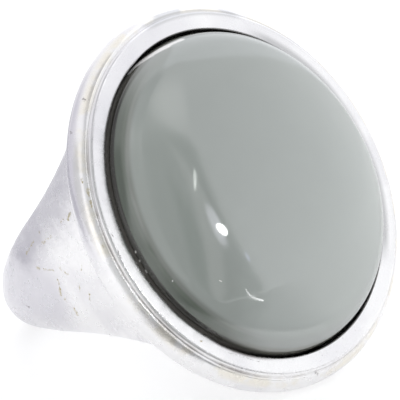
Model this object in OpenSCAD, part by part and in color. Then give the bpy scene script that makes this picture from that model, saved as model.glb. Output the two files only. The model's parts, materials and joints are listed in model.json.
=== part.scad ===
// A chunky cast ring with one large round cabochon, lying on its side as it rests by itself.
// The pieces are made in the ring's own axes: X across the finger, Y along the finger, Z out
// through the stone, with the centre of the finger hole at the origin. laid_down() then turns
// them on their side, on the plane Z = 0, with the origin under the middle of the whole ring.
// All sizes are in millimetres.

/* [Finger hole and band] */
// Diameter of the finger hole
finger_d = 17.4; // [16:0.2:19]
// Thickness of the band at the bottom of the ring
band_t = 2; // [1.9:0.1:2.6]
// Width of the band at the bottom of the ring
band_w = 3.4; // [3:0.2:6]
// How far the rounded outer face falls back at the edges of the band
band_crown = 1.4; // [0.6:0.1:1.4]
// Width of the shoulders where they run into the head
shoulder_w = 17.8; // [12:0.2:18]
// How far the shoulders lean out on each side between the band and the head
shoulder_flare = 1.4; // [0:0.1:1.6]

/* [Head] */
// Height of the rim's inner edge above the centre of the finger hole
head_rise = 13.5; // [13.2:0.1:16]
// Diameter of the opening that holds the stone
opening_d = 25.3; // [24:0.1:30]
// Thickness of the rounded bead round the opening
bead_d = 1.4; // [1.2:0.02:1.8]
// Thickness of the rounded wall below the bead
wall_d = 2.7; // [2.4:0.1:3]
// Depth of the seat below the rim's inner edge
seat_depth = 2.5; // [2:0.1:2.7]

/* [Stone] */
// Clearance all round the stone in its cup
stone_gap = 0.2; // [0.2:0.05:0.6]
// Height of the stone's top above the rim's inner edge
dome_h = 5; // [4:0.1:7]
// Radius of the rounded shoulder at the stone's edge
dome_edge = 3; // [1.8:0.1:3.4]

/* [Hidden] */

silver = [0.86, 0.86, 0.87];
sage = [0.62, 0.66, 0.64];

// Finger hole and band
hole_r = finger_d / 2;
hoop_r = hole_r + band_t;
crown_power = 1.8;
taper_power = 1.42;

// The band is made this much too thick on its inside, and the finger hole is then cut through it
hole_stock = 0.8;
inner_r = hole_r - hole_stock;

// Degrees between sections of the hoop, points across its face, and levels up the shoulders
hoop_step = 6;
crown_steps = 22;
shoulder_steps = 9;

// Head, as radius and height from the ring's centre
opening_r = opening_d / 2;
bead_out = 0.95;
bead_down = 0.5;
bead_c = [opening_r + bead_out, head_rise - bead_down];
lip_round = 0.25;
lip_fall = 0.03;
lip_c = [opening_r + lip_round, bead_c.y + bead_d / 2 - lip_round - lip_fall];
wall_out = 0.85;
wall_down = 1.25;
wall_c = [opening_r + wall_out, head_rise - wall_down];
wall_r = wall_d / 2;
crease_out = 1.54;
crease_down = 0.02;
crease_c = [opening_r + crease_out, head_rise - crease_down];
crease_r = 0.12;
seat_z = head_rise - seat_depth;
floor_t = 0.8;
under_z = seat_z - floor_t;
under_in = 0.25;
under_r = opening_r - under_in;

// The shoulders end inside the wall, at its widest but for this share of its radius
bury = 0.7;
shoulder_top = wall_c.y - bury * wall_r;

// Stone, as one shoulder arc and one broad arc that meet smoothly
stone_r = opening_r - stone_gap;
seat_clear = 0.1;
foot_z = seat_z + seat_clear;
edge_down = 0.45;
edge_z = head_rise - edge_down;
edge_x = stone_r - dome_edge;
top_z = head_rise + dome_h;
edge_drop = top_z - edge_z;
dome_r = (edge_x * edge_x + edge_drop * edge_drop - dome_edge * dome_edge)
    / (2 * edge_drop - 2 * dome_edge);
dome_z = top_z - dome_r;

// Facets round the stone's axis, round a small circle, and round the broad arc of the dome
turn_fn = 128;
small_fn = 64;
dome_fn = 360;

// How far the outer face falls back at t, from 0 at the middle of the band to 1 at its edge
function fall(t) =
    band_crown * (1 - pow(max(0, 1 - pow(abs(t), crown_power)), 1 / crown_power));

// Half the band's width at height z
function half_width(z) =
    let (rise = (z + hoop_r) / (shoulder_top + hoop_r))
    band_w / 2 + (shoulder_w - band_w) / 2 * pow(rise, taper_power);

// How far out the middle of the shoulder stands at height z, above the ring's centre
function shoulder_x(z) = hoop_r + shoulder_flare * pow(z / shoulder_top, 2);

// Places across the band, closer together at the edges
crown_t = [for (i = [0:crown_steps]) -cos(180 * i / crown_steps)];

// One section through the hoop, at an angle from the bottom: outer face, then inner corners
function hoop_section(angle) =
    let (w = half_width(-hoop_r * cos(angle)), dir = [sin(angle), -cos(angle)])
    concat(
        [for (t = crown_t) [dir.x * (hoop_r - fall(t)), w * t, dir.y * (hoop_r - fall(t))]],
        [for (side = [1, -1]) [dir.x * inner_r, w * side, dir.y * inner_r]]);

// One level section through both shoulders: right face, right to left, left face and back
function shoulder_section(z) =
    let (w = half_width(z), x = shoulder_x(z))
    concat(
        [for (t = crown_t) [x - fall(t), w * t, z]],
        [[inner_r, w, z], [-inner_r, w, z]],
        [for (t = crown_t) [fall(t) - x, -w * t, z]],
        [[-inner_r, -w, z], [inner_r, -w, z]]);

// Two triangles for each step between two rings of points
function skin(first, second, count) =
    [for (i = [0:count - 1])
        let (j = (i + 1) % count)
        each [[first[i], first[j], second[j]], [first[i], second[j], second[i]]]];

// Hoop below the centre and shoulders above it, as one solid before the finger hole is cut
module shank_blank() {
    face_n = crown_steps + 1;
    hoop_n = face_n + 2;
    ring_n = 2 * hoop_n;
    angles = [for (a = [-90:hoop_step:90]) a];
    levels = [for (i = [1:shoulder_steps]) shoulder_top * i / shoulder_steps];
    hoop_pts = [for (a = angles) each hoop_section(a)];
    level_pts = [for (z = levels) each shoulder_section(z)];
    last = (len(angles) - 1) * hoop_n;
    base = len(angles) * hoop_n;

    // The hoop's two end sections are the first level section of the shoulders
    right_face = [for (i = [0:face_n - 1]) last + i];
    left_face = [for (i = [face_n - 1:-1:0]) i];
    start = concat(
        right_face, [last + face_n, face_n], left_face, [face_n + 1, last + face_n + 1]);
    upper = [for (k = [0:shoulder_steps - 1]) [for (i = [0:ring_n - 1]) base + k * ring_n + i]];
    rows = concat([start], upper);

    hoop_faces = [for (k = [0:len(angles) - 2])
        each skin([for (i = [0:hoop_n - 1]) (k + 1) * hoop_n + i],
            [for (i = [0:hoop_n - 1]) k * hoop_n + i], hoop_n)];
    shoulder_faces = [for (k = [0:shoulder_steps - 1]) each skin(rows[k + 1], rows[k], ring_n)];
    inner_face = [face_n + 1, last + face_n + 1, last + face_n, face_n];
    top_row = rows[shoulder_steps];
    centre = base + shoulder_steps * ring_n;
    top_faces = [for (i = [0:ring_n - 1]) [centre, top_row[(i + 1) % ring_n], top_row[i]]];

    polyhedron(
        points = concat(hoop_pts, level_pts, [[0, 0, shoulder_top]]),
        faces = concat(hoop_faces, shoulder_faces, top_faces, [inner_face]),
        convexity = 6);
}

// Rounded wall and bead, turned about the stone's axis, before the seat is cut
module head() {
    wall_low = [wall_c.x, wall_c.y - wall_r];
    rotate_extrude($fn = turn_fn) difference() {
        union() {
            polygon([[0, under_z], [under_r, under_z], wall_low, wall_c, bead_c, [0, bead_c.y]]);
            translate(wall_c) circle(r = wall_r, $fn = small_fn);
            hull() {
                translate(bead_c) circle(d = bead_d, $fn = small_fn);
                translate(lip_c) circle(r = lip_round, $fn = small_fn);
                translate([lip_c.x, bead_c.y]) circle(r = lip_round, $fn = small_fn);
            }
        }
        translate(crease_c) circle(r = crease_r, $fn = small_fn);
    }
}

// Outline of the stone from its axis to its edge. The two arcs meet on the line from the broad
// arc's centre through the small arc's centre
module stone_outline() {
    reach = dome_edge / (dome_r - dome_edge);
    meet = [edge_x + edge_x * reach, edge_z + (edge_z - dome_z) * reach];
    intersection() {
        translate([0, foot_z]) square([stone_r, top_z - foot_z]);
        union() {
            translate([0, foot_z]) square([stone_r, edge_z - foot_z]);
            translate([edge_x, edge_z]) circle(r = dome_edge, $fn = small_fn);
            intersection() {
                translate([0, dome_z]) circle(r = dome_r, $fn = dome_fn);
                polygon([[0, foot_z], [edge_x, edge_z], meet, [0, top_z + dome_r]]);
            }
        }
    }
}

// Turned on its side, the ring touches the surface with the wall and with the foot of the band
function head_low(lean) = wall_c.y * sin(lean) - wall_c.x * cos(lean) - wall_r;
function band_low(lean) =
    -max([for (t = crown_t) (hoop_r - fall(t)) * sin(lean) + band_w / 2 * abs(t) * cos(lean)]);
function rest_lean(low = 10, high = 50, turns = 24) =
    let (mid = (low + high) / 2)
    turns == 0 ? mid
        : head_low(mid) > band_low(mid) ? rest_lean(low, mid, turns - 1)
        : rest_lean(mid, high, turns - 1);

lean = rest_lean();
dome_front = atan2(edge_x, edge_z - dome_z) > lean
    ? -dome_z * cos(lean) - dome_r
    : -edge_z * cos(lean) - edge_x * sin(lean) - dome_edge;
wall_front = -wall_c.y * cos(lean) - wall_c.x * sin(lean) - wall_r;
bead_front = -bead_c.y * cos(lean) - bead_c.x * sin(lean) - bead_d / 2;
band_back =
    max([for (t = crown_t) (hoop_r - fall(t)) * cos(lean) + band_w / 2 * abs(t) * sin(lean)]);
front_y = min(dome_front, wall_front, bead_front);

module laid_down() {
    middle_y = (front_y + band_back) / 2;
    translate([0, -middle_y, -head_low(lean)]) rotate([90 - lean, 0, 0]) children();
}

// Band, shoulders, cup and rim are one casting
module ring_body() {
    color(silver) laid_down() difference() {
        union() {
            shank_blank();
            head();
        }
        rotate([90, 0, 0]) cylinder(r = hole_r, h = 2 * opening_d, center = true, $fn = turn_fn);
        translate([0, 0, seat_z]) cylinder(r = opening_r, h = 2 * seat_depth, $fn = turn_fn);
    }
}

module cabochon() {
    color(sage) laid_down() rotate_extrude($fn = turn_fn) stone_outline();
}

ring_body();
cabochon();
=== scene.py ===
import json
import math

import bmesh
import bpy
from mathutils import Matrix, Vector
from mathutils.bvhtree import BVHTree
from mathutils.interpolate import poly_3d_calc
from mathutils.kdtree import KDTree


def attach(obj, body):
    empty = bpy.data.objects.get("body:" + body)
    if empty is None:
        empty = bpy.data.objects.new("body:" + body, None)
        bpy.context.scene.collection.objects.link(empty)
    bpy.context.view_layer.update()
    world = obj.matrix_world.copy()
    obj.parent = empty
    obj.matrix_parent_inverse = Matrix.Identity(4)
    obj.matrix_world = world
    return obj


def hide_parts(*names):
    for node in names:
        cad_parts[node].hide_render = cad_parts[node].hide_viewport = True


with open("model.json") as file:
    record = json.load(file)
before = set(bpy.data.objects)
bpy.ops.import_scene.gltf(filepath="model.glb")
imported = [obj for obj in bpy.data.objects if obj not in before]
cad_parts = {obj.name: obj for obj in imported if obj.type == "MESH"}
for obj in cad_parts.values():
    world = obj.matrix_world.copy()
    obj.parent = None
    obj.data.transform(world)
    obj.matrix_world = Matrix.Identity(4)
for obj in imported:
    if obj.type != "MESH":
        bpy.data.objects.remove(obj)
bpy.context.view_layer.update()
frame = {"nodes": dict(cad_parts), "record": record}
print("frame loaded:", ", ".join(sorted(frame["nodes"])))

# The ring's own axes, in millimetres from the centre of the finger hole: x across the finger,
# y along the finger, z out through the stone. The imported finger_hole mount says where they lie.
holeMount = frame["record"]["mounts"][0]
holeCentre = Vector(holeMount["pos_m"])
alongFinger = Vector(holeMount["axis"]).normalized()
acrossFinger = Vector((1, 0, 0))
throughStone = acrossFinger.cross(alongFinger)
mm = 0.001


def ringPoint(x, y, z):
    return holeCentre + (acrossFinger * x + alongFinger * y + throughStone * z) * mm


# Camera

photoView = {
    "azimuth": -44.67,      # degrees, 0 looks along +Y
    "elevation": 18.33,
    "roll": 0.56,
    "distance": 350,        # mm, from the ring
    "aimRight": 1.34,       # mm, what the middle of the picture looks at
    "aimUp": 10.8,
    "lens": 419.9,
    "sensor": 36,
    "clip": (0.01, 20),     # m
}


def makeCamera(view):
    azimuth, elevation = math.radians(view["azimuth"]), math.radians(view["elevation"])
    level = Vector((math.sin(azimuth), -math.cos(azimuth), 0))
    back = level * math.cos(elevation) + Vector((0, 0, math.sin(elevation)))
    right = Vector((math.cos(azimuth), math.sin(azimuth), 0))
    up = back.cross(right)
    place = (right * view["aimRight"] + up * view["aimUp"] + back * view["distance"]) * mm
    turn = Matrix((right, up, back)).transposed() @ Matrix.Rotation(-math.radians(view["roll"]), 3, "Z")
    data = bpy.data.cameras.new("camera")
    data.lens = view["lens"]
    data.sensor_width = view["sensor"]
    data.clip_start, data.clip_end = view["clip"]
    camera = bpy.data.objects.new("camera", data)
    camera.matrix_world = Matrix.Translation(place) @ turn.to_4x4()
    bpy.context.scene.collection.objects.link(camera)
    bpy.context.scene.camera = camera
    return camera


camera = makeCamera(photoView)
print("camera placed")


# Mesh helpers

def arc(centre, radius, start, end, count):
    # points on a circle, from the start angle to the end angle in degrees
    turn = [math.radians(start + (end - start) * i / (count - 1)) for i in range(count)]
    return [(centre[0] + radius * math.cos(a), centre[1] + radius * math.sin(a)) for a in turn]


def between(start, end, steps):
    # points on a line, after its start and up to its end
    return [tuple(a + (b - a) * k / steps for a, b in zip(start, end)) for k in range(1, steps + 1)]


def meshFrom(name, points, faces):
    mesh = bpy.data.meshes.new(name)
    mesh.from_pydata([tuple(p) for p in points], [], faces)
    mesh.validate()
    tidy = bmesh.new()
    tidy.from_mesh(mesh)
    bmesh.ops.recalc_face_normals(tidy, faces=tidy.faces)
    tidy.to_mesh(mesh)
    tidy.free()
    for face in mesh.polygons:
        face.use_smooth = True
    thing = bpy.data.objects.new(name, mesh)
    bpy.context.scene.collection.objects.link(thing)
    return thing


def turned(name, profile, segments):
    # a solid of revolution round the stone's axis; the profile starts and ends on that axis
    inner = profile[1:-1]
    count = len(inner)
    points = [ringPoint(0, 0, profile[0][1]), ringPoint(0, 0, profile[-1][1])]
    for s in range(segments):
        a = 2 * math.pi * s / segments
        points += [ringPoint(r * math.cos(a), r * math.sin(a), z) for r, z in inner]
    faces = []
    for s in range(segments):
        a, b = 2 + s * count, 2 + (s + 1) % segments * count
        faces.append((0, b, a))
        faces.append((1, a + count - 1, b + count - 1))
        faces += [(a + i, b + i, b + i + 1, a + i + 1) for i in range(count - 1)]
    return meshFrom(name, points, faces)


# Metal: cup, wall and bead are turned, band and shoulders are lofted, and the two are fused

head = {
    "openingRadius": 12.65,
    "seatHeight": 11.0,
    "seatFillet": 0.3,
    "underHeight": 10.2,
    "underRadius": 12.4,
    "beadCentre": (13.6, 13.0),
    "beadRadius": 0.7,
    "lipDrop": 0.03,             # from the top of the bead inwards to the lip
    "lipRadius": 0.17,           # rounding where the bead turns down into the cup
    "wallCentre": (13.5, 12.25),
    "wallRadius": 1.35,
    "creaseDepth": 0.07,         # valley between the bead and the wall
    "creaseWidth": 0.14,
    "lipEnd": 105,               # degrees, where the lip's rounding meets the top
    # rings of the cup's floor and of the underside, in mm from their outer edges
    "floorInsets": (9, 5, 2, 0.8),
    "underInsets": (0.15, 0.5, 1.2, 2.5, 5, 9),
    # how finely each stretch of the profile is drawn
    "steps": {"corner": 7, "cup": 8, "lip": 7, "top": 10, "bead": 26, "wall": 64, "under": 6},
    "segments": 300,
}

shank = {
    "holeRadius": holeMount["dims"]["r_mm"],
    "hoopRadius": 10.7,
    "footWidth": 3.4,
    "crown": 1.4,               # how far the outer face falls back at its edges
    "crownPower": 1.8,
    "shoulderWidth": 17.8,
    "shoulderTop": 11.3,
    "taperPower": 1.42,
    "flare": 1.4,
    "edgeFillet": 0.35,         # comfort rounding along the finger hole
    "leastThickness": 0.3,      # the outer face is looked for between this and "furthest"
    "furthest": 20,
    "halvings": 26,
    "blockTop": 10.6,           # inside the floor of the cup
    "capInner": 12.75,
    "capOuter": 13.15,
    "crownSteps": 36,
    "sideSteps": 8,
    "filletSteps": 6,
    "boreSteps": 5,
    "segments": 300,
}

# Where the shank runs softly into the head
weld = {
    "reach": 0.4,               # mm
    "zone": 1.5,                # points within this many reaches of the seam are moved
    "rounds": 4,
    "farthestMove": 0.5,        # in reaches; a point that would move further stays
}


def circlesMeet(c1, r1, c2, r2):
    # the crossing of two circles that lies furthest out
    dx, dy = c2[0] - c1[0], c2[1] - c1[1]
    d = math.hypot(dx, dy)
    along = (d * d + r1 * r1 - r2 * r2) / (2 * d)
    aside = math.sqrt(r1 * r1 - along * along)
    found = [(c1[0] + (dx * along - s * dy * aside) / d, c1[1] + (dy * along + s * dx * aside) / d)
             for s in (1, -1)]
    return max(found)


def angleFrom(centre, point):
    return math.degrees(math.atan2(point[1] - centre[1], point[0] - centre[0]))


def headProfile(h):
    bead, wall, steps = h["beadCentre"], h["wallCentre"], h["steps"]
    crease = circlesMeet(bead, h["beadRadius"], wall, h["wallRadius"])
    lipX = h["openingRadius"] + h["lipRadius"]
    beadTop = bead[1] + h["beadRadius"]
    lip = (lipX, beadTop - h["lipDrop"] - h["lipRadius"])
    corner = (h["openingRadius"] - h["seatFillet"], h["seatHeight"] + h["seatFillet"])
    under = (h["underRadius"], h["underHeight"])
    wallFoot = (wall[0], wall[1] - h["wallRadius"])

    profile = [(0, h["seatHeight"])]
    profile += [(h["openingRadius"] - inset, h["seatHeight"]) for inset in h["floorInsets"]]
    profile += arc(corner, h["seatFillet"], -90, 0, steps["corner"])
    profile += between((h["openingRadius"], corner[1]), (h["openingRadius"], lip[1]), steps["cup"])[:-1]
    profile += arc(lip, h["lipRadius"], 180, h["lipEnd"], steps["lip"])
    for k in range(1, steps["top"]):
        inset = 1 - k / steps["top"]
        profile.append((bead[0] + (lipX - bead[0]) * inset, beadTop - h["lipDrop"] * inset ** 2))
    profile += arc(bead, h["beadRadius"], 90, angleFrom(bead, crease), steps["bead"])
    profile += arc(wall, h["wallRadius"], angleFrom(wall, crease), -90, steps["wall"])[1:]
    profile += between(wallFoot, under, steps["under"])
    profile += [(h["underRadius"] - inset, h["underHeight"]) for inset in h["underInsets"]]
    profile += [(0, h["underHeight"])]

    # press a soft valley into the metal at the crease
    pressed = [profile[0]]
    for before, (x, y), after in zip(profile, profile[1:], profile[2:]):
        tx, ty = after[0] - before[0], after[1] - before[1]
        size = math.hypot(tx, ty)
        away = math.hypot(x - crease[0], y - crease[1])
        push = h["creaseDepth"] * math.exp(-(away / h["creaseWidth"]) ** 2)
        pressed.append((x + ty / size * push, y - tx / size * push))
    return pressed + [profile[-1]]


def fallBack(s, t):
    # how far the outer face lies behind its middle, at t from -1 to 1 across the band
    power = s["crownPower"]
    return s["crown"] * (1 - max(0, 1 - abs(t) ** power) ** (1 / power))


def halfWidth(s, z):
    rise = (z + s["hoopRadius"]) / (s["shoulderTop"] + s["hoopRadius"])
    return (s["footWidth"] + (s["shoulderWidth"] - s["footWidth"]) * rise ** s["taperPower"]) / 2


def capHeight(s, radius):
    # the shoulders end inside the floor of the cup, and further out inside its wall
    share = min(max((radius - s["capInner"]) / (s["capOuter"] - s["capInner"]), 0), 1)
    return s["blockTop"] + (s["shoulderTop"] - s["blockTop"]) * share


def outerReach(s, phi, t):
    # distance of the outer face from the finger's axis, phi round from the foot of the band
    across, down = abs(math.sin(phi)), math.cos(phi)
    if down >= 0:
        return s["hoopRadius"] - fallBack(s, t)
    low, high = s["holeRadius"] + s["leastThickness"], s["furthest"]
    for _ in range(s["halvings"]):
        reach = (low + high) / 2
        x, z = reach * across, -reach * down
        face = s["hoopRadius"] + s["flare"] * (z / s["shoulderTop"]) ** 2 - fallBack(s, t)
        inside = x < face and z < capHeight(s, math.hypot(x, halfWidth(s, z) * t))
        low, high = (reach, high) if inside else (low, reach)
    return low


def shankSection(s, phi):
    # closed outline as (reach, y): outer face, one side, finger hole, other side
    down = math.cos(phi)

    def edge(reach):
        return halfWidth(s, -(s["hoopRadius"] if down >= 0 else reach) * down)

    outer = []
    for i in range(s["crownSteps"] + 1):
        t = -math.cos(math.pi * i / s["crownSteps"])
        reach = outerReach(s, phi, t)
        outer.append((reach, edge(reach) * t))
    fillet, hole = s["edgeFillet"], s["holeRadius"]
    top = outer[-1][0]
    side = [(top + (hole + fillet - top) * k / s["sideSteps"]) for k in range(1, s["sideSteps"])]
    side = [(reach, edge(reach)) for reach in side]
    for k in range(s["filletSteps"] + 1):
        a = math.radians(90 * k / s["filletSteps"])
        reach = hole + fillet * (1 - math.sin(a))
        side.append((reach, edge(reach) - fillet * (1 - math.cos(a))))
    bore = [(hole, side[-1][1] * k / s["boreSteps"]) for k in range(s["boreSteps"] - 1, -1, -1)]
    back = [(reach, -y) for reach, y in reversed(side + bore[:-1])]
    return outer + side + bore + back


def loftedShank(name, s):
    sections = []
    for i in range(s["segments"]):
        phi = 2 * math.pi * i / s["segments"]
        x, z = math.sin(phi), -math.cos(phi)
        sections.append([ringPoint(x * reach, y, z * reach) for reach, y in shankSection(s, phi)])
    count = len(sections[0])
    faces = []
    for i in range(s["segments"]):
        a, b = i * count, (i + 1) % s["segments"] * count
        faces += [(a + k, a + (k + 1) % count, b + (k + 1) % count, b + k) for k in range(count)]
    return meshFrom(name, [p for section in sections for p in section], faces)


class Surface:
    # the nearest place on a mesh, with its smooth normal and a signed distance
    def __init__(self, thing):
        self.mesh = thing.data.copy()
        self.points = [v.co.copy() for v in self.mesh.vertices]
        self.normals = [v.normal.copy() for v in self.mesh.vertices]
        self.polygons = [tuple(p.vertices) for p in self.mesh.polygons]
        self.tree = BVHTree.FromPolygons(self.points, self.polygons)

    def at(self, place):
        near, flat, index, away = self.tree.find_nearest(place)
        corners = self.polygons[index]
        shares = poly_3d_calc([self.points[c] for c in corners], near)
        normal = sum((self.normals[c] * w for c, w in zip(corners, shares)), Vector()).normalized()
        return normal, math.copysign(away, (place - near).dot(flat))


def softMeet(a, b, reach):
    # smooth union of two surfaces: its distance and its normal
    (normalA, distA), (normalB, distB) = a, b
    share = max(reach - abs(distA - distB), 0) / reach
    if distA > distB:
        normalA, normalB = normalB, normalA
    normal = normalA.lerp(normalB, share / 2).normalized()
    return min(distA, distB) - share * share * reach / 4, normal


def joined(first, second):
    # the union of both as one mesh; each face keeps the number of the half that it came from
    for thing, index in ((first, 0), (second, 1)):
        thing.data.materials.clear()
        thing.data.materials.append(bpy.data.materials.new("half" + str(index)))
    join = first.modifiers.new("join", "BOOLEAN")
    join.object = second
    join.operation = "UNION"
    join.solver = "MANIFOLD"
    join.material_mode = "TRANSFER"
    graph = bpy.context.evaluated_depsgraph_get()
    mesh = bpy.data.meshes.new_from_object(first.evaluated_get(graph))
    halves = [int(m.name[-1]) if m else 0 for m in mesh.materials]
    sides = [set() for _ in mesh.vertices]
    for face in mesh.polygons:
        face.use_smooth = True
        for v in face.vertices:
            sides[v].add(halves[face.material_index])
    mesh.materials.clear()
    return mesh, sides


def fuse(name, first, second, weld):
    # one closed mesh of both, with a soft weld along the seam and the true normals elsewhere
    reach = weld["reach"] * mm
    surfaces = [Surface(first), Surface(second)]
    mesh, sides = joined(first, second)
    seam = [v.co.copy() for v in mesh.vertices if len(sides[v.index]) == 2]
    nearSeam = KDTree(len(seam))
    for i, place in enumerate(seam):
        nearSeam.insert(place, i)
    nearSeam.balance()

    normals = []
    for vertex, here in zip(mesh.vertices, sides):
        place = vertex.co.copy()
        if nearSeam.find(place)[2] > reach * weld["zone"]:
            normals.append(surfaces[min(here)].at(place)[0])
            continue
        for _ in range(weld["rounds"]):
            far, normal = softMeet(surfaces[0].at(vertex.co), surfaces[1].at(vertex.co), reach)
            vertex.co -= normal * far
        if (vertex.co - place).length > reach * weld["farthestMove"]:
            vertex.co = place
        normals.append(normal)
    print("seam has", len(seam), "points")
    mesh.normals_split_custom_set_from_vertices(normals)
    fused = bpy.data.objects.new(name, mesh)
    bpy.context.scene.collection.objects.link(fused)
    for thing in (first, second):
        bpy.data.objects.remove(thing)
    return fused


print("turning the head")
headSolid = turned("head_solid", headProfile(head), head["segments"])
print("lofting the shank")
shankSolid = loftedShank("shank_solid", shank)
ringBody = fuse("cast_ring", headSolid, shankSolid, weld)
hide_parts("ring_body")
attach(ringBody, "root")
print("ring body made:", len(ringBody.data.polygons), "faces")


# Stone: one turned solid with a broad dome and a steep rounded edge

cabochon = {
    "radius": 12.45,
    "footHeight": 11.1,
    "footChamfer": 0.25,
    "edgeHeight": 13.05,
    "edgeRadius": 3.0,
    "topHeight": 18.5,
    "footRings": (0.3, 0.6, 0.85),      # shares of the radius
    "steps": {"side": 4, "edge": 40, "dome": 70},
    "segments": 240,
}


def stoneProfile(c):
    edge, steps = (c["radius"] - c["edgeRadius"], c["edgeHeight"]), c["steps"]
    drop = c["topHeight"] - c["edgeHeight"]
    domeRadius = (edge[0] ** 2 + drop ** 2 - c["edgeRadius"] ** 2) / (2 * drop - 2 * c["edgeRadius"])
    dome = (0, c["topHeight"] - domeRadius)
    meet = angleFrom(dome, edge)
    profile = [(0, c["footHeight"])]
    profile += [(c["radius"] * share, c["footHeight"]) for share in c["footRings"]]
    profile += [(c["radius"] - c["footChamfer"], c["footHeight"])]
    sideFoot = (c["radius"], c["footHeight"] + c["footChamfer"])
    profile += [sideFoot] + between(sideFoot, (c["radius"], c["edgeHeight"]), steps["side"])[:-1]
    profile += arc(edge, c["edgeRadius"], 0, meet, steps["edge"])
    profile += arc(dome, domeRadius, meet, 90, steps["dome"])[1:-1]
    return profile + [(0, c["topHeight"])]


stone = turned("cabochon_stone", stoneProfile(cabochon), cabochon["segments"])
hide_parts("cabochon")
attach(stone, "root")
print("stone made:", len(stone.data.polygons), "faces")


# Shader helpers

class Nodes:
    # a short way to build a node tree
    def __init__(self, tree):
        self.tree = tree

    def add(self, kind, inputs=None, **settings):
        node = self.tree.nodes.new(kind)
        for key, value in settings.items():
            setattr(node, key, value)
        for key, value in (inputs or {}).items():
            if isinstance(value, bpy.types.NodeSocket):
                self.feed(value, node.inputs[key])
            else:
                node.inputs[key].default_value = value
        return node

    def feed(self, value, socket):
        self.tree.links.new(value, socket)

    def math(self, operation, a, b=0.0, clamp=False):
        return self.add("ShaderNodeMath", {0: a, 1: b}, operation=operation, use_clamp=clamp).outputs[0]

    def times(self, a, b):
        return self.math("MULTIPLY", a, b)

    def most(self, a, b):
        return self.math("MAXIMUM", a, b)

    def length(self, a, b):
        return self.math("SQRT", self.math("ADD", self.math("POWER", a, 2.0), self.math("POWER", b, 2.0)))

    def vector(self, operation, a, b):
        return self.add("ShaderNodeVectorMath", {0: a, 1: b}, operation=operation)

    def scaled(self, a, factor):
        return self.add("ShaderNodeVectorMath", {0: a, "Scale": factor}, operation="SCALE").outputs[0]

    def fade(self, value, low, high, toLow=0.0, toHigh=1.0, kind="SMOOTHSTEP"):
        sockets = {"Value": value, "From Min": low, "From Max": high, "To Min": toLow, "To Max": toHigh}
        return self.add("ShaderNodeMapRange", sockets, interpolation_type=kind).outputs["Result"]

    def blend(self, share, a, b):
        node = self.add("ShaderNodeMix", data_type="RGBA")
        for socket, value in ((node.inputs[0], share), (node.inputs[6], a), (node.inputs[7], b)):
            if isinstance(value, bpy.types.NodeSocket):
                self.feed(value, socket)
            else:
                socket.default_value = value
        return node.outputs[2]

    def noise(self, place, scale, detail, roughness):
        sockets = {"Vector": place, "Scale": scale, "Detail": detail, "Roughness": roughness}
        return self.add("ShaderNodeTexNoise", sockets).outputs["Fac"]

    def mottle(self, place, scale, detail, roughness, low, high, toLow=0.0, toHigh=1.0):
        # a noise, stretched between two levels
        return self.fade(self.noise(place, scale, detail, roughness), low, high, toLow, toHigh)

    def turnFrom(self, start, angle):
        # degrees from one direction to another, between -180 and 180
        gap = self.math("SUBTRACT", angle, start)
        return self.add("ShaderNodeMath", {0: gap, 1: 180.0, 2: -180.0}, operation="WRAP").outputs[0]


def newMaterial(name):
    material = bpy.data.materials.new(name)
    material.use_nodes = True
    material.node_tree.nodes.clear()
    nodes = Nodes(material.node_tree)
    shader = nodes.add("ShaderNodeBsdfPrincipled")
    output = nodes.add("ShaderNodeOutputMaterial")
    nodes.feed(shader.outputs[0], output.inputs[0])
    return material, nodes, shader


def ringAxesGroup():
    # where a point lies on the ring, in millimetres, with its reach from the stone's axis and its height
    tree = bpy.data.node_groups.new("ringAxes", "ShaderNodeTree")
    for name in ("Place", "Reach", "Height"):
        kind = "NodeSocketVector" if name == "Place" else "NodeSocketFloat"
        tree.interface.new_socket(name, in_out="OUTPUT", socket_type=kind)
    nodes = Nodes(tree)
    output = nodes.add("NodeGroupOutput")
    place = nodes.add("ShaderNodeTexCoord").outputs["Object"]
    local = nodes.scaled(nodes.vector("SUBTRACT", place, holeCentre).outputs[0], 1 / mm)
    x, y, z = (nodes.vector("DOT_PRODUCT", local, axis).outputs["Value"]
               for axis in (acrossFinger, alongFinger, throughStone))
    whole = nodes.add("ShaderNodeCombineXYZ", {0: x, 1: y, 2: z}).outputs[0]
    for name, value in (("Place", whole), ("Reach", nodes.length(x, y)), ("Height", z)):
        nodes.feed(value, output.inputs[name])
    return tree


strokeEdge = (0.4, 1.2)         # in widths, where a stroke starts to fade and where it ends


def strokeGroup():
    # 1 well within Width of the line between two places, 0 outside; all in millimetres
    tree = bpy.data.node_groups.new("stroke", "ShaderNodeTree")
    for name in ("Place", "From", "To"):
        tree.interface.new_socket(name, in_out="INPUT", socket_type="NodeSocketVector")
    tree.interface.new_socket("Width", in_out="INPUT", socket_type="NodeSocketFloat")
    tree.interface.new_socket("Share", in_out="OUTPUT", socket_type="NodeSocketFloat")
    nodes = Nodes(tree)
    given = nodes.add("NodeGroupInput").outputs
    output = nodes.add("NodeGroupOutput")
    start = nodes.vector("SUBTRACT", given["Place"], given["From"]).outputs[0]
    line = nodes.vector("SUBTRACT", given["To"], given["From"]).outputs[0]
    along = nodes.vector("DOT_PRODUCT", start, line).outputs["Value"]
    whole = nodes.vector("DOT_PRODUCT", line, line).outputs["Value"]
    foot = nodes.scaled(line, nodes.math("DIVIDE", along, whole, clamp=True))
    away = nodes.math("DIVIDE", nodes.vector("DISTANCE", start, foot).outputs["Value"], given["Width"])
    nodes.feed(nodes.fade(away, *strokeEdge, 1.0, 0.0), output.inputs["Share"])
    return tree


ringAxes = ringAxesGroup()
stroke = strokeGroup()


# Where the photo shows a mark, the same spot on the model is found by looking through the camera

photoSize = 400
nowhere = Vector((0, 0, 99))            # far from the ring, for a mark that isn't seen
leastLength = Vector((0, 0, 0.01))      # so that a mark with both ends in one place has a line


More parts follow.
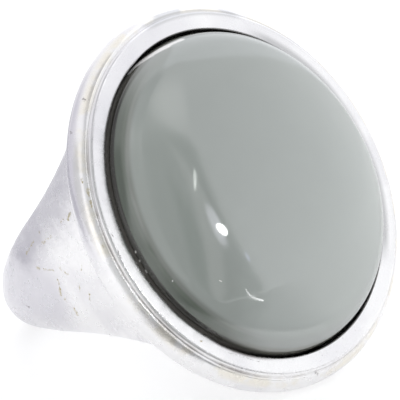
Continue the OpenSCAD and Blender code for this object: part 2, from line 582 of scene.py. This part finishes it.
def seenAt(thing, x, y):
    wide = camera.data.sensor_width / camera.data.lens
    aim = Vector(((x + 0.5) / photoSize - 0.5, 0.5 - (y + 0.5) / photoSize, -1 / wide)).normalized()
    start = camera.matrix_world.translation
    hit, place, _, _ = thing.ray_cast(start, camera.matrix_world.to_3x3() @ aim)
    if not hit:
        print("nothing is seen at", x, y)
        return nowhere
    local = (place - holeCentre) / mm
    return Vector((local.dot(acrossFinger), local.dot(alongFinger), local.dot(throughStone)))


def mark(nodes, place, thing, x1, y1, x2, y2, width):
    # one mark as a share: its two ends in the photo and its half width in mm
    node = nodes.add("ShaderNodeGroup", node_tree=stroke)
    nodes.feed(place, node.inputs["Place"])
    node.inputs["From"].default_value = seenAt(thing, x1, y1)
    node.inputs["To"].default_value = seenAt(thing, x2, y2) + leastLength
    node.inputs["Width"].default_value = width
    return node.outputs["Share"]


def patch(nodes, place, *ends):
    return mark(nodes, place, ringBody, *ends)


def strokes(nodes, place, thing, marks):
    total = 0.0
    for each in marks:
        total = nodes.most(total, mark(nodes, place, thing, *each))
    return total


def ragged(nodes, place, scale, detail, size):
    # the place, moved about by up to half this size, so that outlines come out uneven
    sockets = {"Vector": place, "Scale": scale, "Detail": detail}
    noise = nodes.add("ShaderNodeTexNoise", sockets).outputs["Color"]
    shift = nodes.scaled(nodes.vector("SUBTRACT", noise, (0.5, 0.5, 0.5)).outputs[0], size)
    return nodes.vector("ADD", place, shift).outputs[0]


def nearRing(nodes, ring, reach, height, near, far):
    # 1 on a circle round the stone's axis, fading to 0 away from it
    aside = nodes.math("SUBTRACT", ring.outputs["Reach"], reach)
    up = nodes.math("SUBTRACT", ring.outputs["Height"], height)
    return nodes.fade(nodes.length(aside, up), near, far, 1.0, 0.0)


silverLook = {
    "bright": (0.84, 0.835, 0.845, 1),
    "filmAndShade": (0.64, 0.63, 0.67, 1),              # thin grey film, partly tarnish tint and partly painted shade
    "flankShade": (0.48, 0.48, 0.49, 1),             # painted shade on the bead's flanks on the far side
    "cream": (0.80, 0.77, 0.71, 1),             # pale deposit
    # dark colour for painted shade under the lip and in the crease, and for dirt, specks and scuffs
    "grimeAndShade": (0.22, 0.20, 0.20, 1),
    "stain": (0.44, 0.38, 0.22, 1),
    "bandFilmAndShade": (4, -8, 0.0, 0.8),              # darker towards the bottom of the band: mm above the finger's axis, and the shares there
    # noises: scale, detail and roughness, then the levels and the shares that they run between
    "filmMottle": (0.2, 3.0, 0.5, 0.35, 0.65, -0.15, 0.35),
    "creamMottle": (0.5, 4.0, 0.5, 0.42, 0.6),
    "creaseMottle": (0.5, 3.0, 0.5, 0.3, 0.7, 0.2, 0.8),
    "speckle": (5.0, 4.0, 0.7, 0.6, 0.74),
    "stainMottle": (6.0, 3.0, 0.5, 0.35, 0.6, 0.35, 1.0),
    "roughness": (0.9, 5.0, 0.65, 0.35, 0.65, 0.18, 0.30),
    # circles round the stone's axis in mm: reach, height, and where they start and end to fade
    "crease": (14.15, 13.43, 0.02, 0.2),        # valley between bead and wall
    "creamRing": (14.5, 13.2, 0.05, 0.75),
    "flankShadeRing": (14.2, 13.38, 0.35, 0.7),
    "wallRing": (14.85, 12.0, 0.25, 0.85),
    # bands of reach or height in mm, then the shares at their ends, which are else 0 and 1
    "rimHeight": (13.4, 13.55),
    "innerFlank": (12.9, 13.45, 0.9, 0.0),
    "innerFlankHeight": (12.9, 13.2),
    "outerFlank": (13.6, 14.0, 0.0, 0.25),
    "lipReach": (12.8, 13.05, 0.9, 0.0),
    # parts of the ring by two ends in the photo, and how far they reach in mm
    "wallSide": (77, 100, 86, 215, 3.5),
    "topSide": (140, 30, 235, 8, 4.0),
    "footSide": (6, 278, 42, 295, 3.0),
    "rimSide": (98, 170, 160, 32, 4.0),
    "farSide": (285, 45, 385, 215, 3.5),
    "topFlank": (158, 20, 222, 11, 1.8),
    "lipSide": (225, 352, 305, 344, 1.6),
    "dirtyShadedSide": (92, 190, 215, 362, 4.5),
    "dustySide": (285, 366, 345, 340, 1.8),
    # how strongly each of these shows
    "shares": {"wall": 0.7, "foot": 0.95, "rim": 0.45, "topFlank": 0.8, "scuff": 0.75},
    "creaseDirtAndShade": (0.25, 0.75),                 # dirt and painted shade in the crease: everywhere, and added on the lower left
    "specks": (0.05, 0.35),                     # everywhere, and added on the dusty side
    "rougherMarks": 0.3,
    "unevenness": (5.0, 3.0, 0.5),              # of the marks' outlines: noise, and size in mm
    "relief": {"waves": (0.45, 3.0, 0.5), "grain": (3.0, 3.0, 0.5), "grainHeight": 0.02,
               "scuffDepth": 0.2, "strength": 0.22, "depth": 0.0002},
}

# Marks as seen in the photo: both ends in its pixels, and half the width in mm
stains = [
    (87, 189, 88, 194, 0.14), (90, 200, 91, 207, 0.09), (81, 179, 82, 182, 0.07),
    (102, 244, 103, 247, 0.06), (70, 212, 67, 219, 0.13), (63, 219, 60, 222, 0.06),
    (39, 231, 39, 234, 0.07), (52, 235, 45, 239, 0.05), (45, 241, 41, 243, 0.06),
    (33, 241, 30, 245, 0.11), (29, 249, 26, 253, 0.10), (36, 267, 39, 268, 0.10),
    (43, 269, 53, 270, 0.06), (59, 267, 61, 269, 0.07), (64, 272, 68, 274, 0.07),
    (81, 265, 81, 270, 0.06), (57, 279, 59, 284, 0.06), (59, 286, 60, 295, 0.09),
    (64, 298, 66, 301, 0.05), (79, 284, 79, 291, 0.06), (89, 293, 89, 299, 0.08),
    (74, 308, 77, 314, 0.09), (200, 341, 201, 341, 0.09),
]
scuffs = [
    (26, 305, 28, 306, 0.08), (111, 233, 114, 240, 0.05), (117, 250, 120, 257, 0.06),
    (83, 98, 84, 100, 0.09), (70, 131, 71, 133, 0.07), (315, 372, 317, 374, 0.07),
    (113, 262, 125, 279, 0.03), (97, 214, 101, 232, 0.03), (150, 306, 168, 325, 0.03),
    (228, 352, 262, 362, 0.03),
]


def filmedAndShadedMetal(nodes, ring, look):
    # bright metal under its grey film, partly tarnish and partly painted shade, which is thickest on the
    # band and on some sides of the head
    place, reach, height = (ring.outputs[name] for name in ("Place", "Reach", "Height"))
    shares = look["shares"]
    filmAndShade = nodes.fade(height, *look["bandFilmAndShade"])
    filmAndShade = nodes.math("ADD", filmAndShade, nodes.mottle(place, *look["filmMottle"]), clamp=True)
    colour = nodes.blend(filmAndShade, look["bright"], look["filmAndShade"])
    # more film and painted shade on the band's foot and on some sides of the head
    footFilmAndShade = nodes.times(patch(nodes, place, *look["footSide"]), shares["foot"])
    colour = nodes.blend(footFilmAndShade, colour, look["filmAndShade"])
    filmedAndShadedSides = nodes.most(patch(nodes, place, *look["wallSide"]), patch(nodes, place, *look["topSide"]))
    wallFilmAndShade = nodes.times(nearRing(nodes, ring, *look["wallRing"]), filmedAndShadedSides)
    rimFilmAndShade = nodes.times(nodes.fade(height, *look["rimHeight"]), patch(nodes, place, *look["rimSide"]))
    headFilmAndShade = nodes.most(nodes.times(wallFilmAndShade, shares["wall"]), nodes.times(rimFilmAndShade, shares["rim"]))
    colour = nodes.blend(headFilmAndShade, colour, look["filmAndShade"])
    # painted shade on the bead's flanks: inside and outside on the far side, and near the crease at the
    # top
    farSide = patch(nodes, place, *look["farSide"])
    inner = nodes.times(nodes.fade(reach, *look["innerFlank"]), farSide)
    inner = nodes.times(inner, nodes.fade(height, *look["innerFlankHeight"]))
    outer = nodes.times(nodes.fade(reach, *look["outerFlank"]), farSide)
    top = nodes.times(nearRing(nodes, ring, *look["flankShadeRing"]), patch(nodes, place, *look["topFlank"]))
    shadedFlanks = nodes.most(nodes.most(inner, nodes.times(top, shares["topFlank"])), outer)
    return nodes.blend(shadedFlanks, colour, look["flankShade"])


def dirtiedAndShaded(nodes, ring, look, colour):
    # cream deposit, painted shade under the lip, dirt and painted shade in the crease, and fine specks
    place = ring.outputs["Place"]
    cream = nearRing(nodes, ring, *look["creamRing"])
    cream = nodes.times(cream, nodes.mottle(place, *look["creamMottle"]))
    colour = nodes.blend(cream, colour, look["cream"])
    # painted shade in the gap under the lip, on the lower side
    lipShade = nodes.fade(ring.outputs["Reach"], *look["lipReach"])
    lipShade = nodes.times(lipShade, patch(nodes, place, *look["lipSide"]))
    colour = nodes.blend(lipShade, colour, look["grimeAndShade"])
    everywhere, added = look["creaseDirtAndShade"]
    dirtAndShade = nodes.math("ADD", everywhere, nodes.times(patch(nodes, place, *look["dirtyShadedSide"]), added))
    # dirt and painted shade in the crease
    crease = nearRing(nodes, ring, *look["crease"])
    crease = nodes.times(crease, nodes.mottle(place, *look["creaseMottle"]))
    colour = nodes.blend(nodes.times(crease, dirtAndShade), colour, look["grimeAndShade"])
    everywhere, added = look["specks"]
    specks = nodes.math("ADD", everywhere, nodes.times(patch(nodes, place, *look["dustySide"]), added))
    return nodes.blend(nodes.times(nodes.mottle(place, *look["speckle"]), specks), colour, look["grimeAndShade"])


def makeSilver(look):
    material, nodes, shader = newMaterial("old_silver")
    ring = nodes.add("ShaderNodeGroup", node_tree=ringAxes)
    place = ring.outputs["Place"]
    colour = dirtiedAndShaded(nodes, ring, look, filmedAndShadedMetal(nodes, ring, look))
    uneven = ragged(nodes, place, *look["unevenness"])
    stained = strokes(nodes, uneven, ringBody, stains)
    stained = nodes.times(stained, nodes.mottle(place, *look["stainMottle"]))
    colour = nodes.blend(stained, colour, look["stain"])
    scuffed = strokes(nodes, uneven, ringBody, scuffs)
    colour = nodes.blend(nodes.times(scuffed, look["shares"]["scuff"]), colour, look["grimeAndShade"])
    nodes.feed(colour, shader.inputs["Base Color"])

    marked = nodes.times(nodes.most(stained, scuffed), look["rougherMarks"])
    roughness = nodes.math("ADD", nodes.mottle(place, *look["roughness"]), marked)
    nodes.feed(roughness, shader.inputs["Roughness"])
    relief = look["relief"]
    grain = nodes.times(nodes.noise(place, *relief["grain"]), relief["grainHeight"])
    raised = nodes.math("ADD", nodes.noise(place, *relief["waves"]), grain)
    raised = nodes.math("SUBTRACT", raised, nodes.times(scuffed, relief["scuffDepth"]))
    sockets = {"Height": raised, "Strength": relief["strength"], "Distance": relief["depth"]}
    nodes.feed(nodes.add("ShaderNodeBump", sockets).outputs[0], shader.inputs["Normal"])
    shader.inputs["Metallic"].default_value = 1
    return material


stoneLook = {
    "far": (0.287, 0.313, 0.298, 1),    # painted light: colour from the top of the picture, in shade, to its lower right, lit
    "near": (0.412, 0.444, 0.428, 1),
    "fromTo": (-8, 7),                  # mm, where the painted light sets out and arrives
    "sideways": 0.4,                    # how much that way leans across the finger
    "cloud": (0.2, 3.0, 0.5, 0.3, 0.7, -0.6, 0.6),
    "shaded": (0.303, 0.332, 0.312, 1),
    "shadedFrom": (-4.5, -7.5),         # mm across the finger, where the shade sets in and is whole
    # painted shade of the edge by mm above the finger's axis, on the left of the picture and elsewhere; on
    # the left its foot is lighter, a painted reflection of the bright bead
    "leftEdgeShade": [(13.3, (0.50, 0.48, 0.45, 1)), (13.75, (0.035, 0.033, 0.027, 1)),
                 (14.04, (0.022, 0.022, 0.018, 1)), (14.13, (0.048, 0.066, 0.046, 1)),
                 (14.5, (0.044, 0.063, 0.043, 1)), (14.75, (0.073, 0.094, 0.07, 1)),
                 (15.0, (0.18, 0.195, 0.177, 1)), (15.35, (0.303, 0.332, 0.312, 1))],
    "otherEdgeShade": [(13.2, (0.05, 0.05, 0.045, 1)), (13.7, (0.12, 0.12, 0.105, 1)),
                  (14.1, (0.22, 0.23, 0.21, 1)), (14.5, (0.28, 0.3, 0.29, 1))],
    "leftEdgeShadeEnds": (15.0, 15.35),      # mm, where the edge's painted shade passes into the body
    "otherEdgeShadeEnds": (14.3, 16.0),
    "edgeSides": (-4, -10),             # mm across the finger, from the other edge to the left one
    "gapShade": (14.2, 14.0, 0.0, 0.5),     # painted shade of the gap beside the rim on the left, where the dark edge turns partly metallic: heights and shares
    # white of the dust, also used for two small painted glints
    "dustAndGlints": (0.8, 0.8, 0.78, 1),
    # colour of the painted glint along the stone's edge
    "edgeGlint": (0.9, 0.89, 0.88, 1),
    "unevenness": (3.0, 3.0, 0.15),
    "roughness": (1.5, 4.0, 0.5, 0.35, 0.65, 0.03, 0.06),
    "ior": 1.6,
    "specular": 1.0,
}

# white dust in the gap on the left, then two small painted glints on the dome
dustAndGlints = [
    (135, 251, 135, 252, 0.07), (139, 260, 139, 261, 0.07), (145, 270, 146, 272, 0.07),
    (172, 280, 172, 281, 0.04), (219, 280, 221, 281, 0.04),
]
# painted glint: a jagged bright streak along the stone's edge at the upper left
edgeGlints = [
    (128, 73, 137, 64, 0.25), (137, 64, 150, 55, 0.38), (150, 55, 166, 46, 0.35),
    (166, 46, 181, 39, 0.25),
]


# painted shade: colours that follow one another up the stone's edge
def edgeShadeRamp(nodes, height, steps):
    shade = steps[0][1]
    for (low, _), (high, colour) in zip(steps, steps[1:]):
        shade = nodes.blend(nodes.fade(height, low, high), shade, colour)
    return shade


# painted light and shade on the body: lighter towards the lower right, shaded on the left, with random
# clouds
def stoneBody(nodes, place, across, along, look):
    nearer = nodes.math("SUBTRACT", nodes.times(across, look["sideways"]), along)
    cloud = nodes.mottle(place, *look["cloud"])
    nearer = nodes.fade(nodes.math("ADD", nearer, cloud), *look["fromTo"], kind="LINEAR")
    body = nodes.blend(nearer, look["far"], look["near"])
    shaded = nodes.fade(nodes.math("ADD", across, cloud), *look["shadedFrom"])
    return nodes.blend(shaded, body, look["shaded"])


def makeStone(look):
    material, nodes, shader = newMaterial("sage_stone")
    ring = nodes.add("ShaderNodeGroup", node_tree=ringAxes)
    place, height = ring.outputs["Place"], ring.outputs["Height"]
    across, along, _ = nodes.add("ShaderNodeSeparateXYZ", {0: place}).outputs
    body = stoneBody(nodes, place, across, along, look)
    onLeft = nodes.fade(across, *look["edgeSides"])
    left = edgeShadeRamp(nodes, height, look["leftEdgeShade"])
    left = nodes.blend(nodes.fade(height, *look["leftEdgeShadeEnds"]), left, body)
    other = edgeShadeRamp(nodes, height, look["otherEdgeShade"])
    other = nodes.blend(nodes.fade(height, *look["otherEdgeShadeEnds"]), other, body)
    colour = nodes.blend(onLeft, other, left)
    colour = nodes.blend(strokes(nodes, place, stone, dustAndGlints), colour, look["dustAndGlints"])
    # painted glint along the edge, with uneven outlines
    uneven = ragged(nodes, place, *look["unevenness"])
    colour = nodes.blend(strokes(nodes, uneven, stone, edgeGlints), colour, look["edgeGlint"])
    nodes.feed(colour, shader.inputs["Base Color"])
    nodes.feed(nodes.mottle(place, *look["roughness"]), shader.inputs["Roughness"])
    # the dark edge turns partly metallic on the left, a painted shade of the gap
    nodes.feed(nodes.times(nodes.fade(height, *look["gapShade"]), onLeft), shader.inputs["Metallic"])
    shader.inputs["IOR"].default_value = look["ior"]
    shader.inputs["Specular IOR Level"].default_value = look["specular"]
    return material


ringBody.data.materials.append(makeSilver(silverLook))
stone.data.materials.append(makeStone(stoneLook))
print("materials made")


# Floor and room

studio = {
    "floorSize": 4.0,
    "floorColour": (0.55, 0.55, 0.55, 1),
    "floorRoughness": 0.6,
    "floorGlow": 0.57,          # the floor is a light table
    "tent": (1.12, 1.12, 1.13), # the room where no zone lies
}

# Parts of the room that the ring mirrors, each laid over those before it. Azimuth 0 is in front of
# the stone and 90 on the right of one who faces it. "half" is half the width and half the height in
# degrees, or "radius" makes a disc. "square" is 2 for an oval and more for a box, "lean" is how far
# it leans to the right per degree upwards, and "soft" is the width of its faded edge, in half widths
zones = {
    "ceiling": {"azimuth": 0, "elevation": 90, "half": (400, 18),
                "light": (0.64, 0.64, 0.66), "soft": 0.5},
    "backLeft": {"azimuth": -152, "elevation": 14, "half": (38, 28),
                 "light": (0.88, 0.87, 0.92), "soft": 0.7},
    "leftSide": {"azimuth": -50, "elevation": -10, "half": (32, 80),
                 "light": (0.7, 0.71, 0.71), "soft": 0.3, "square": 5},
    "besideLeft": {"azimuth": -79, "elevation": 17, "half": (14, 18),
                   "light": (1.42, 1.42, 1.44), "soft": 0.8},
    "farLeft": {"azimuth": -114, "elevation": 22, "half": (22, 24),
                "light": (0.72, 0.72, 0.73), "soft": 0.6},
    "darkSide": {"azimuth": -1, "elevation": -10, "half": (21, 80),
                 "light": (0.46, 0.47, 0.47), "soft": 0.3, "square": 5},
    "darkStripe": {"azimuth": -7, "elevation": 24, "half": (3.4, 22),
                   "light": (0.2, 0.23, 0.21), "soft": 1.0},
    "strip": {"azimuth": 1.2, "elevation": 26, "half": (3.6, 30),
              "light": (0.84, 0.84, 0.84), "soft": 0.9, "lean": 0.1},
    "upperGlow": {"azimuth": 42, "elevation": 67, "half": (26, 8),
                  "light": (1.55, 1.55, 1.55), "soft": 1.2},
    "softbox": {"azimuth": 57, "elevation": 22, "radius": 43.2,
                "light": (1.15, 1.16, 1.17), "soft": 0.1},
    "backRight": {"azimuth": 123.5, "elevation": 22.5, "half": (22, 46),
                  "light": (1.5, 1.52, 1.57), "soft": 0.12, "square": 5, "lean": -0.4},
    "lampHalo": {"azimuth": 4.9, "elevation": 26.5, "half": (2.3, 7.5),
                 "light": (2.3, 2.3, 2.5), "soft": 0.7, "lean": -0.08},
    "lamp": {"azimuth": 6.6, "elevation": 24.4, "half": (1.7, 2.4),
             "light": (16, 16, 16), "soft": 0.3, "lean": -0.4},
    "spark": {"azimuth": 13.7, "elevation": 12.4, "half": (0.6, 1.6),
              "light": (1.9, 2, 2.6), "soft": 1.0, "lean": -0.3},
    "tube": {"azimuth": 5.0, "elevation": 43.9, "half": (0.75, 3.2),
             "light": (5.2, 5.4, 5.2), "soft": 0.8, "lean": 0.85},
}

# Soft shades over the floor that only mirrors see, outside the picture: azimuth and its half width
# in degrees with its softness, and the distance in mm over which the shade sets in
floorShades = {
    "front": {"azimuth": -14, "half": 36, "soft": 36, "setsIn": (22, 27),
              "colour": (0.36, 0.36, 0.36, 1)},
    "backLeft": {"azimuth": -160, "half": 36, "soft": 30, "setsIn": (37, 60),
                 "colour": (0.64, 0.63, 0.67, 1)},
}
shadeSize = 600                 # mm, half the width of each shade
shadeLift = 0.05                # mm, of each shade over the one below it
shadeRoughness = 0.8

# Narrow bright card in front of the ring, which makes the small curved glint on the stone
glintCard = {
    "from": (-5.6, -13.1, 8.4),     # mm, a place on the stone
    "distance": 70,                 # mm, of the card from there
    # azimuth and elevation of the card's middle line, seen from there
    "path": [(9.9, 3.2), (10.4, 1.3), (11.5, -0.4), (13.4, -1.8), (15.8, -3), (17.8, -3.8)],
    "width": 0.8,                   # degrees
    "glow": 6,
}


def square(half, height):
    return [(-half, -half, height), (half, -half, height), (half, half, height), (-half, half, height)]


def makeFloor(place):
    floor = meshFrom("floor", square(place["floorSize"] / 2, 0), [(0, 1, 2, 3)])
    material, nodes, shader = newMaterial("pale_floor")
    shader.inputs["Base Color"].default_value = place["floorColour"]
    shader.inputs["Roughness"].default_value = place["floorRoughness"]
    shader.inputs["Emission Color"].default_value = (1, 1, 1, 1)
    shader.inputs["Emission Strength"].default_value = place["floorGlow"]
    floor.data.materials.append(material)


def direction(azimuth, elevation):
    a, e = math.radians(azimuth), math.radians(elevation)
    return Vector((math.sin(a) * math.cos(e), -math.cos(a) * math.cos(e), math.sin(e)))


def offCamera(thing):
    # only mirrors and bounces see it
    thing.visible_camera = False
    thing.visible_shadow = False


def azimuthOf(nodes, x, y):
    return nodes.math("DEGREES", nodes.math("ARCTAN2", x, nodes.times(y, -1.0)))


def makeFloorShade(name, shade, lift):
    thing = meshFrom(name, square(shadeSize * mm, lift * mm), [(0, 1, 2, 3)])
    material, nodes, shader = newMaterial(name)
    place = nodes.add("ShaderNodeTexCoord").outputs["Object"]
    axes = nodes.add("ShaderNodeSeparateXYZ", {0: place}).outputs
    aside = nodes.turnFrom(shade["azimuth"], azimuthOf(nodes, axes[0], axes[1]))
    half, soft = shade["half"], shade["soft"] / 2
    cover = nodes.fade(nodes.math("ABSOLUTE", aside), half - soft, half + soft, 1.0, 0.0)
    away = nodes.add("ShaderNodeVectorMath", {0: place}, operation="LENGTH").outputs["Value"]
    near, far = shade["setsIn"]
    cover = nodes.times(cover, nodes.fade(away, near * mm, far * mm))
    nodes.feed(cover, shader.inputs["Alpha"])
    shader.inputs["Base Color"].default_value = shade["colour"]
    shader.inputs["Roughness"].default_value = shadeRoughness
    thing.data.materials.append(material)
    offCamera(thing)


def makeGlintCard(card):
    start = Vector(card["from"]) * mm
    points = []
    for azimuth, elevation in card["path"]:
        for side in (-0.5, 0.5):
            aim = direction(azimuth, elevation + side * card["width"])
            points.append(start + aim * card["distance"] * mm)
    faces = [(k, k + 2, k + 3, k + 1) for k in range(0, len(points) - 2, 2)]
    thing = meshFrom("glint_card", points, faces)
    material, nodes, shader = newMaterial("bright_card")
    shader.inputs["Base Color"].default_value = (0, 0, 0, 1)
    shader.inputs["Emission Color"].default_value = (1, 1, 1, 1)
    shader.inputs["Emission Strength"].default_value = card["glow"]
    thing.data.materials.append(material)
    offCamera(thing)


def zoneShare(nodes, zone, ray, azimuth, elevation):
    # 1 inside the zone, 0 outside
    soft = zone["soft"]
    if "radius" in zone:
        aim = direction(zone["azimuth"], zone["elevation"])
        facing = nodes.vector("DOT_PRODUCT", ray, aim).outputs["Value"]
        away = nodes.math("DEGREES", nodes.math("ARCCOSINE", facing))
        away = nodes.math("DIVIDE", away, zone["radius"])
    else:
        above = nodes.math("SUBTRACT", elevation, zone["elevation"])
        aside = nodes.turnFrom(zone["azimuth"], azimuth)
        aside = nodes.math("SUBTRACT", aside, nodes.times(above, zone.get("lean", 0.0)))
        power = zone.get("square", 2.0)
        parts = [nodes.math("POWER", nodes.math("ABSOLUTE", nodes.math("DIVIDE", gap, half)), power)
                 for gap, half in ((aside, zone["half"][0]), (above, zone["half"][1]))]
        away = nodes.math("POWER", nodes.math("ADD", *parts), 1 / power)
    return nodes.fade(away, 1 - soft / 2, 1 + soft / 2, 1.0, 0.0)


def makeRoom(place, zones):
    world = bpy.data.worlds.new("white_room")
    world.use_nodes = True
    nodes = Nodes(world.node_tree)
    ray = nodes.add("ShaderNodeTexCoord").outputs["Generated"]
    axes = nodes.add("ShaderNodeSeparateXYZ", {0: ray}).outputs
    azimuth = azimuthOf(nodes, axes[0], axes[1])
    elevation = nodes.math("DEGREES", nodes.math("ARCSINE", axes[2]))
    total = (*place["tent"], 1)
    for zone in zones.values():
        share = zoneShare(nodes, zone, ray, azimuth, elevation)
        total = nodes.blend(share, total, (*zone["light"], 1))
    nodes.feed(total, world.node_tree.nodes["Background"].inputs["Color"])
    bpy.context.scene.world = world


makeFloor(studio)
for level, (name, shade) in enumerate(floorShades.items(), 1):
    makeFloorShade("shade_" + name, shade, level * shadeLift)
makeGlintCard(glintCard)
makeRoom(studio, zones)
bpy.context.scene.view_settings.view_transform = "Standard"
print("studio made")
